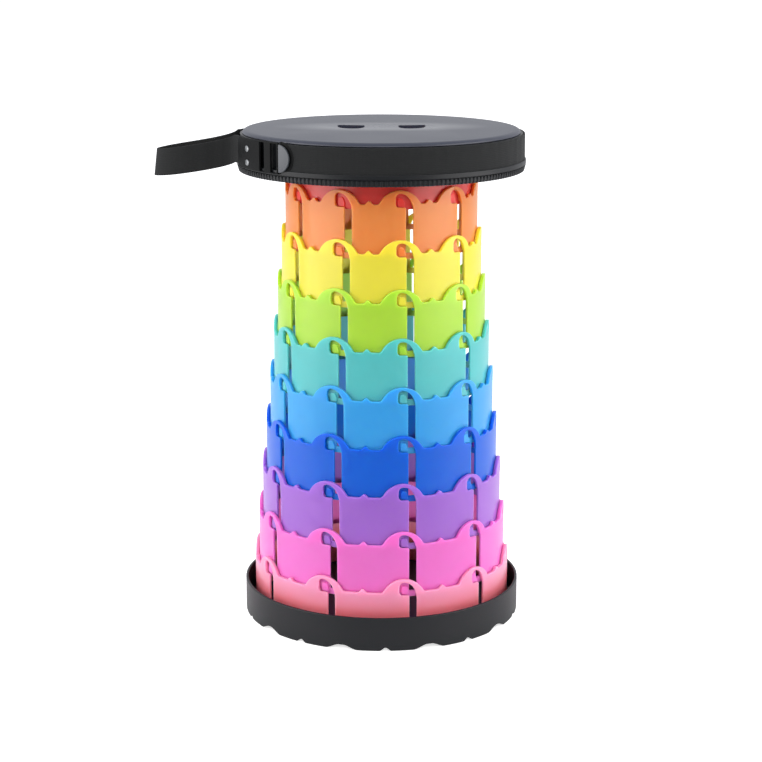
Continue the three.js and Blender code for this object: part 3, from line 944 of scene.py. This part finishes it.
profile = [(PAD_RADIUS, 0), (PAD_RADIUS, TRAY_UNDERSIDE), (FOOT_INSIDE, TRAY_UNDERSIDE)]
profile += [(FOOT_INSIDE, FOOT_CHAMFER), (FOOT_INSIDE + FOOT_CHAMFER, 0)]
profile += corner(BASE_RADIUS - LOW_ROUND, LOW_ROUND, LOW_ROUND, 270, 4)
profile += corner(BASE_RADIUS - TOP_ROUND, BASE_HEIGHT - TOP_ROUND, TOP_ROUND, 0, 4)
profile += corner(BASE_INSIDE + TOP_ROUND, BASE_HEIGHT - TOP_ROUND, TOP_ROUND, 90, 4)
profile += [(BASE_INSIDE, TRAY_FLOOR + 1), (122.2, TRAY_FLOOR + 0.3), (121.5, TRAY_FLOOR)]
profile += [(KERB_OUTSIDE, TRAY_FLOOR), (KERB_OUTSIDE, KERB_TOP - KERB_CHAMFER), (117.9, KERB_TOP)]
profile += [(117, KERB_TOP), (KERB_INSIDE, KERB_TOP - KERB_CHAMFER), (KERB_INSIDE, TRAY_FLOOR)]
base = turned("base", profile, capped=True)


def foot_wave(half, height, highest):
    """An opening in the foot that swells and falls like a wave, cut off at the highest level."""
    points = []
    for i in range(2 * WAVE_STEPS + 1):
        swell = (1 - math.cos(math.pi * i / WAVE_STEPS)) / 2
        points.append((half * (1 - i / WAVE_STEPS), min(height * swell, highest)))
    return [(half, BELOW_FOOT)] + points + [(-half, BELOW_FOOT)]


for name, outline, inside, turn in (
    ("gap", foot_wave(GAP_HALF, GAP_HEIGHT, GAP_INSIDE_HEIGHT), FOOT_INSIDE - PAST_FOOT, 0.5),
    ("gap_front", foot_wave(GAP_HALF, GAP_HEIGHT, GAP_HEIGHT), BASE_INSIDE + GAP_STEP, 0.5),
    ("notch", foot_wave(NOTCH_HALF, NOTCH_HEIGHT, NOTCH_HEIGHT), FOOT_INSIDE - PAST_FOOT, 0),
):
    cut = plate(name, outline, inside, BASE_RADIUS + PAST_FOOT)
    turns = [FOOT_TURN + (i + turn) * 2 * math.pi / FOOT_COUNT for i in range(FOOT_COUNT)]
    combine(base, copied_round(cut, turns, name))
finished(base, "base", black_plastic, "black_plastic", "base_tray", cut_wall=True)

# %% [markdown]
# ## Lid
# The lid is a thin round plate with a rounded edge, two finger holes and a wide oval hollow
# between them, hardly a millimetre deep. The hollow is a flattened ball sunk into the top by
# the depth of the hollow. Below the lid are a spigot that enters the rim, a hoop round the
# narrowest ring and eight ribs.

# %% Lid
LID_UNDERSIDE = 436.6
SEAT_TOP = 440
HOLE_SPACING = 54
HOLE_WIDTH = 24
HOLE_LENGTH = 28
HOLE_STRAIGHT = 8
HOLE_CORNER = 2
DISH_DEPTH = 0.9
LID_SKIRT = 433.6
LID_HOOP = (76.7, 78.6)
LID_SPIGOT = (117, 119.2)
LID_RADIUS = 121.7
LID_ROUND, LID_BULGE = 4.6, 0.3
LID_ROUND_LEVEL = 436.9
LID_RIBS = 8
LID_RIB_HALF = 1
LID_RIB_LOW, LID_RIB_SUNK = 434.2, 0.4
LID_RIB_REACH = (52, 77.5)
LID_RIB_TURN = math.radians(112.5)

profile = []
for inner, outer in (LID_HOOP, LID_SPIGOT):
    profile += [(inner, LID_UNDERSIDE), (inner, LID_SKIRT)]
    profile += [(outer, LID_SKIRT), (outer, LID_UNDERSIDE)]
profile += [(LID_RADIUS, LID_UNDERSIDE)]
edge_rise = SEAT_TOP - LID_ROUND_LEVEL
round_centre = LID_RADIUS + LID_BULGE - LID_ROUND
profile += arc(round_centre, LID_ROUND_LEVEL, LID_ROUND, edge_rise, 0, 90, 10)
lid = turned("lid", profile, capped=True)
for i in range(LID_RIBS):
    outline = box(LID_RIB_HALF, LID_RIB_LOW, LID_UNDERSIDE + LID_RIB_SUNK)
    rib = plate("rib", outline, *LID_RIB_REACH)
    turn = LID_RIB_TURN + i * 2 * math.pi / LID_RIBS
    rib.data.transform(Matrix.Rotation(turn, 4, "Z"))
    combine(lid, rib, "UNION")
dish_place = (0, HOLE_SHIFT, SEAT_TOP + DISH[2] - DISH_DEPTH)
combine(lid, flattened_ball("dish", DISH, dish_place, segments=128, rings=96))
straight = HOLE_SHIFT + HOLE_LENGTH / 2 - HOLE_STRAIGHT
back_corner = straight + HOLE_STRAIGHT - HOLE_CORNER
for side in (-1, 1):
    middle = side * HOLE_SPACING / 2
    reach = HOLE_WIDTH / 2 - HOLE_CORNER
    outline = arc(middle, straight, HOLE_WIDTH / 2, HOLE_LENGTH - HOLE_STRAIGHT, 180, 360, 32)
    outline += corner(middle + reach, back_corner, HOLE_CORNER, 0, 5)
    outline += corner(middle - reach, back_corner, HOLE_CORNER, 90, 5)
    hole = plate("finger_hole", outline, LID_UNDERSIDE - BEYOND, SEAT_TOP + BEYOND, upright=False)
    combine(lid, hole)
finished(lid, "seat", lid_plastic, "lid_plastic", "seat_lid", angle=22)

# %% [markdown]
# ## Rim
# Under the lid runs the rim: a groove that the webbing lies in, a smooth lip below it, a dark
# line, and a skirt with fine upright ribs whose foot curls in. The rim is turned. One rib is a
# slim cylinder whose low end is pulled inwards, and it is copied two hundred times. The lip is
# open where the carry loop leaves.

# %% Rim
RIB_COUNT = 200
RIB_RADIUS = 1.25
RIB_HEIGHT = 5
RIB_LEVEL = 406.9
RIB_CURL = 1.3
SKIRT_RADIUS = 125.7
GATE = math.radians(19)

skirt = [(121, 404.5), (121.7, 404.1), (122.8, 404), (124.4, 404.3), (125.2, 405)]
skirt += [(125.6, 406.1), (SKIRT_RADIUS, 407), (SKIRT_RADIUS, 409.2)]
dark_line = [(124.8, 409.35), (124.8, 409.75)]
lip = [(126.6, 409.9), (127, 410.2), (127.1, 410.7), (127.1, 413.6), (126.95, 414)]
lip += [(126.6, 414.2), (126.2, 414.2), (126, 414)]
groove = [(126, 412), (124, 412), (124, 436.3)]
inside = [(119.5, 436.3), (119.5, 433.7), (121.7, 433.7), (121.7, 408), (121, 406)]
rim = turned("rim", skirt + dark_line + lip + groove + inside)
gate = turned("gate", [(126.01, 412), (128, 412), (128, 415), (126.01, 415)])
wedge = plate("wedge", box(127.3 * math.sin(GATE), 411, 416), 100, 130)
wedge.data.transform(Matrix.Rotation(-math.pi / 2, 4, "Z"))
combine(gate, wedge, "INTERSECT")
combine(rim, gate)

bpy.ops.mesh.primitive_cylinder_add(vertices=14, radius=RIB_RADIUS * MM, depth=RIB_HEIGHT * MM)
rib = bpy.context.object
rib.location = (0, -SKIRT_RADIUS * MM, RIB_LEVEL * MM)
bpy.ops.object.transform_apply(location=True, rotation=True, scale=True)


def low_end(edge):
    """Whether an edge of the rib lies wholly at its low end."""
    return all(rib.data.vertices[v].co.z < (RIB_LEVEL - 1) * MM for v in edge.vertices)


picked(rib, "EDGE", low_end)
bpy.ops.transform.translate(value=(0, RIB_CURL * MM, 0))
bpy.ops.object.mode_set(mode="OBJECT")
ribs = copied_round(rib, [i * 2 * math.pi / RIB_COUNT for i in range(RIB_COUNT)], "rim_ribs")
only(rim)
ribs.select_set(True)
bpy.ops.object.join()
finished(rim, "seat", black_plastic, "black_plastic", "seat_rim", angle=24, cut_wall=True)

# %% [markdown]
# ## Webbing
# The band and the carry loop are one kind of strip: a grid laid along a line of plan points,
# thickened, with softly rounded edges. Its map is in millimetres, so the weave keeps its size.
# The band isn't perfectly tight: it puckers a little where it was pulled to the buckle. The
# loop leans out towards its tip, so its upper edge reaches further than its lower one.

# %% Sizes of the webbing, in millimetres
WEB_WIDTH = 24
WEB_THICKNESS = 1.5
WEB_MIDDLE = 125.05
WEB_BOTTOM = 412.3
WEB_ROUND = 0.4

# %% Lay a strip
STRIP_ROWS = 12


def laid_strip(name, line, edges):
    """For each step, plan points of the lower and the upper edge, and the two edges' heights."""
    steps = len(line) - 1
    bpy.ops.mesh.primitive_grid_add(x_subdivisions=steps, y_subdivisions=STRIP_ROWS, size=2)
    piece = bpy.context.object
    piece.name = name
    travelled = [0.0]
    for a, b in zip(line, line[1:]):
        travelled.append(travelled[-1] + math.dist(a[0], b[0]))
    mesh = piece.data
    mapped = []
    for vertex in mesh.vertices:
        i = round((vertex.co.x + 1) / 2 * steps)
        share = (vertex.co.y + 1) / 2
        low, high = edges[i]
        bottom, top = line[i]
        x = bottom[0] + (top[0] - bottom[0]) * share
        y = bottom[1] + (top[1] - bottom[1]) * share
        mapped.append((travelled[i], share * WEB_WIDTH))
        vertex.co = (x * MM, y * MM, (low + (high - low) * share) * MM)
    layer = mesh.uv_layers.active or mesh.uv_layers.new(name="UVMap")
    for item in mesh.loops:
        layer.data[item.index].uv = mapped[item.vertex_index]
    only(piece)
    thick = piece.modifiers.new("thick", "SOLIDIFY")
    thick.thickness = WEB_THICKNESS * MM
    thick.offset = 0
    bpy.ops.object.modifier_apply(modifier=thick.name)
    soft = piece.modifiers.new("soft", "BEVEL")
    soft.width = WEB_ROUND * MM
    soft.segments = 2
    soft.limit_method = "ANGLE"
    soft.angle_limit = math.radians(50)
    bpy.ops.object.modifier_apply(modifier=soft.name)
    return piece


# %% Band round the rim
BAND_STEPS = 580
BAND_FROM, BAND_TO = math.radians(-43), math.radians(245.9)
BAND_SLACK, BAND_INSET = 0.2, 0.15
PUCKER_AT, PUCKER_SPREAD = 48, 30
PUCKER_DEPTH, PUCKER_DEEPER, PUCKER_FINE = 0.2, 0.3, 0.16


def pucker(azimuth, height_share):
    """How far small upright folds push the band out. They are stronger right of the tab."""
    degrees = math.degrees(azimuth)
    near = math.exp(-(((degrees - PUCKER_AT) / PUCKER_SPREAD) ** 2))
    fold = noise.noise(Vector((degrees * 0.28, height_share * 0.8, 3.1)))
    fine = noise.noise(Vector((degrees * 0.75, height_share * 1.5, 9.4)))
    return (PUCKER_DEPTH + PUCKER_DEEPER * near) * fold + PUCKER_FINE * fine


line, edges = [], []
for i in range(BAND_STEPS + 1):
    azimuth = BAND_FROM + (BAND_TO - BAND_FROM) * i / BAND_STEPS
    ends = []
    for share in (0, 1):
        radius = WEB_MIDDLE + BAND_SLACK + pucker(azimuth, share)
        ends.append((radius * math.sin(azimuth), -radius * math.cos(azimuth)))
    line.append(ends)
    edges.append((WEB_BOTTOM + BAND_INSET, WEB_BOTTOM + WEB_WIDTH))
band = laid_strip("strap_band_web", line, edges)
finished(band, "seat", webbing, "webbing", "strap_band", angle=50)
print("band length:", round(WEB_MIDDLE * (BAND_TO - BAND_FROM)), "mm")

# %% Carry loop
LOOP_ROOT = 127.8
LOOP_REACH = 198.3
LOOP_DROOP = 14
DROOP_POWER = 0.63
LOOP_LEAN = 1.4
LEAN_FROM = 0.6
RIPPLE = 0.25
LOOP_INSET = 0.1
# Shares of the reach beyond the band, and of half the gate's width
LOOP_SHARES = [(0.025, 0.683), (0.095, 0.5), (0.243, 0.451)]
LOOP_SHARES += [(0.462, 0.439), (0.708, 0.402), (0.892, 0.28)]


def smooth_line(points, per_span):
    """A curve through plan points that never loops back on itself, however uneven they are."""
    line = []
    padded = [points[0] * 2 - points[1], *points, points[-1] * 2 - points[-2]]
    for p0, p1, p2, p3 in zip(padded, padded[1:], padded[2:], padded[3:]):
        t1 = (p1 - p0).length ** 0.5
        t2 = t1 + (p2 - p1).length ** 0.5
        t3 = t2 + (p3 - p2).length ** 0.5
        for i in range(per_span):
            t = t1 + (t2 - t1) * i / per_span
            a = p0.lerp(p1, t / t1)
            b = p1.lerp(p2, (t - t1) / (t2 - t1))
            c = p2.lerp(p3, (t - t2) / (t3 - t2))
            d = a.lerp(b, t / t2)
            e = b.lerp(c, (t - t1) / (t3 - t1))
            line.append(d.lerp(e, (t - t1) / (t2 - t1)))
    line.append(points[-1])
    return line


def on_rim(degrees):
    """A plan point on the band's middle line."""
    azimuth = math.radians(degrees)
    return Vector((WEB_MIDDLE * math.sin(azimuth), -WEB_MIDDLE * math.cos(azimuth)))


near = []
for out, across in LOOP_SHARES:
    y = -WEB_MIDDLE * math.sin(GATE) * across
    near.append(Vector((-math.sqrt(WEB_MIDDLE**2 - y**2) - (LOOP_REACH - WEB_MIDDLE) * out, y)))
far = [Vector((point.x, -point.y)) for point in reversed(near)]
route = [on_rim(d) for d in (-57.3, -60, -64, -68, -71)] + near + [Vector((-LOOP_REACH, 0))]
route += far + [on_rim(d) for d in (-109, -111.5, -113.7)]
plan = smooth_line(route, 14)
line, edges = [], []
for i, point in enumerate(plan):
    before, after = plan[max(i - 1, 0)], plan[min(i + 1, len(plan) - 1)]
    outward = Vector((after.y - before.y, before.x - after.x)).normalized()
    out = max(-point.x - LOOP_ROOT, 0) / (LOOP_REACH - LOOP_ROOT)
    lean = LOOP_LEAN * max(out - LEAN_FROM, 0) / (1 - LEAN_FROM)
    ripple = RIPPLE * noise.noise(Vector((i * 0.11, 0.5, 1.7))) * min(1, out * 4)
    low = WEB_BOTTOM - LOOP_DROOP * out**DROOP_POWER
    line.append([tuple(point + outward * (ripple + shift)) for shift in (-lean, lean)])
    edges.append((low + LOOP_INSET, low + WEB_WIDTH - LOOP_INSET))
loop = laid_strip("carry_loop_web", line, edges)
finished(loop, "seat", webbing, "webbing", "strap_loop", angle=50)
print("loop length:", round(sum((b - a).length for a, b in zip(plan, plan[1:]))), "mm")

# %% [markdown]
# ## Buckle, tab and studs
# The buckle is a curved plate with two upright slots: an end plate that two small studs hold, a
# bar, and the gap that the half-round end tab stands beside. A thin black sheet behind the tab
# is painted shadow: it stands in for the shade round the tab's curved edge, together with the
# real shade in the gap under the tab. All are cut flat, rounded and rolled to the rim like the
# rings' panels.

# %% Buckle
BUCKLE_OUTSIDE = 129.4
BUCKLE_DEPTH = 1.8
BUCKLE_SPAN = (-72.6, -41.95)
BUCKLE_HALF = 13.2
BUCKLE_CORNER = 2.6
BUCKLE_SLOTS = ((-52.7, -49.75), (-46.0, -42.6))
BUCKLE_SLOT_HALF = 12.3
BUCKLE_SLOT_CORNER = 0.7
WEB_CENTRE = WEB_BOTTOM + WEB_WIDTH / 2


def rolled_plate(name, azimuths, outline_of, outside, depth, round_by, columns, holes=()):
    """A plate between two azimuths, in degrees. The outline is drawn about the plate's middle."""
    middle = math.radians(sum(azimuths) / 2)
    half = math.radians(azimuths[1] - azimuths[0]) / 2 * outside
    piece = plate(name, outline_of(half), -depth, 0, holes)

    def along_front(a, b):
        return abs(a.y - b.y) < CLOSE and a.y < CLOSE

    rounded_edges(piece, round_by, along_front, segments=3)
    rolled(piece, outside, columns)
    piece.data.transform(Matrix.Rotation(middle, 4, "Z"))
    return piece


def buckle_outline(half):
    """Round corners at the stud end, square ones at the tab."""
    low, high = WEB_CENTRE - BUCKLE_HALF, WEB_CENTRE + BUCKLE_HALF
    outline = corner(BUCKLE_CORNER - half, low + BUCKLE_CORNER, BUCKLE_CORNER, 180, 5)
    outline += [(half, low), (half, high)]
    outline += corner(BUCKLE_CORNER - half, high - BUCKLE_CORNER, BUCKLE_CORNER, 90, 5)
    return outline


def slot_hole(azimuths):
    """A slot between two azimuths, in degrees, with small round corners."""
    middle = math.radians(sum(BUCKLE_SPAN) / 2)
    a, b = ((math.radians(degrees) - middle) * BUCKLE_OUTSIDE for degrees in azimuths)
    left, right = a + BUCKLE_SLOT_CORNER, b - BUCKLE_SLOT_CORNER
    rise = BUCKLE_SLOT_HALF - BUCKLE_SLOT_CORNER
    outline = []
    for turn, (x, z) in enumerate(((right, rise), (left, rise), (left, -rise), (right, -rise))):
        outline += corner(x, WEB_CENTRE + z, BUCKLE_SLOT_CORNER, 90 * turn, 3)
    return outline


slots = [slot_hole(azimuths) for azimuths in BUCKLE_SLOTS]
buckle = rolled_plate(
    "buckle", BUCKLE_SPAN, buckle_outline, BUCKLE_OUTSIDE, BUCKLE_DEPTH, 0.4, 24, slots
)
finished(buckle, "seat", buckle_plastic, "black_plastic", "strap_buckle")

# %% Tab and the black sheet of painted shadow behind it
TAB_AZIMUTH = -41.8
TAB_RADIUS, TAB_OUTSIDE, TAB_DEPTH = 11.7, 129.35, 1.5
# The black half-disc behind the tab is painted shadow round the tab's curved edge
TAB_SHADOW_RADIUS, TAB_SHADOW_OUTSIDE, TAB_SHADOW_DEPTH = 14.1, 126.4, 0.6


def tab_plate(name, radius, outside, depth):
    """A half-round plate, its flat side at the buckle's end."""
    span = (TAB_AZIMUTH, TAB_AZIMUTH + math.degrees(radius / outside))

    def half_disc(half):
        return arc(-half, WEB_CENTRE, radius, radius, -90, 90, 28)

    return rolled_plate(name, span, half_disc, outside, depth, 0.35, 12)


tab = tab_plate("end_tab", TAB_RADIUS, TAB_OUTSIDE, TAB_DEPTH)
finished(tab, "seat", tab_plastic, "tab_plastic", "strap_tab")
# Painted shadow: a thin black half-disc behind the tab, a little wider than the tab
seat = tab_plate("end_tab_shadow_sheet", TAB_SHADOW_RADIUS, TAB_SHADOW_OUTSIDE, TAB_SHADOW_DEPTH)
finished(seat, "seat", buckle_plastic, "black_plastic")

# %% Studs
STUD_SIZE = (3.4, 0.9, 2.6)
STUD_AZIMUTH = math.radians(-62)
STUD_PROUD = 0.1
UPPER_RISE, LOWER_RISE = 4.3, -7.5

for name, rise, node in (
    ("upper_stud", UPPER_RISE, "strap_stud_upper"),
    ("lower_stud", LOWER_RISE, "strap_stud_lower"),
):
    place = (0, -BUCKLE_OUTSIDE - STUD_PROUD, WEB_CENTRE + rise)
    stud = flattened_ball(name, STUD_SIZE, place, segments=40, rings=20)
    stud.data.transform(Matrix.Rotation(STUD_AZIMUTH, 4, "Z"))
    finished(stud, "seat", stud_metal, "stud_metal", node, angle=60)

# %% [markdown]
# ## Floor
# The photograph's ground is pure white. A wide white plane keeps the stool's soft shadow. Only
# the camera sees all of it white: for every other ray it darkens towards the front, like the
# room, because a bright floor there would lay a haze over the front of the rings.

# %% Floor
FLOOR_WHITE = 0.9
FLOOR_GLOW = 0.7
FLOOR_DIM, FLOOR_DIM_UP_TO = 0.2, -0.5
FLOOR_BRIGHT, FLOOR_BRIGHT_FROM = 0.8, -0.12
FLOOR_MIRRORED = 0.4

bpy.ops.mesh.primitive_plane_add(size=12, location=(0, 0, -0.5 * MM))
floor = bpy.context.object
floor.name = "floor"
white = (FLOOR_WHITE, FLOOR_WHITE, FLOOR_WHITE)
ground = Finish("white_ground", white, 0.9)
ground_rays = ground.node("ShaderNodeLightPath")
spot = ground.node("ShaderNodeSeparateXYZ", Vector=ground.place())
depth_behind = ground.value(spot, "Y")
ground_level = ground.eased(
    depth_behind, FLOOR_DIM_UP_TO, FLOOR_BRIGHT_FROM, FLOOR_DIM, FLOOR_BRIGHT
)
camera_ray = ground.value(ground_rays, "Is Camera Ray")
ground.colour(ground.mix(camera_ray, ground_level, (*white, 1)))
mirrored = ground.value(ground_rays, "Is Glossy Ray") * ground_level * FLOOR_MIRRORED
glow = ground.math("MAXIMUM", seen_directly(ground, ground_rays), mirrored)
glow_colour = ground.mix(glow, (0, 0, 0, 1), (1, 1, 1, 1))
ground.feed(ground.shader.inputs["Emission Color"], glow_colour)
ground.shader.inputs["Emission Strength"].default_value = FLOOR_GLOW
floor.data.materials.append(ground.material)
floor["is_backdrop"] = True
print("floor:", round(floor.dimensions.x, 3), "m wide")

# %% Print the finished box
low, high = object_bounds()
print("finished box:", [round(v, 3) for v in (*low, *high)])
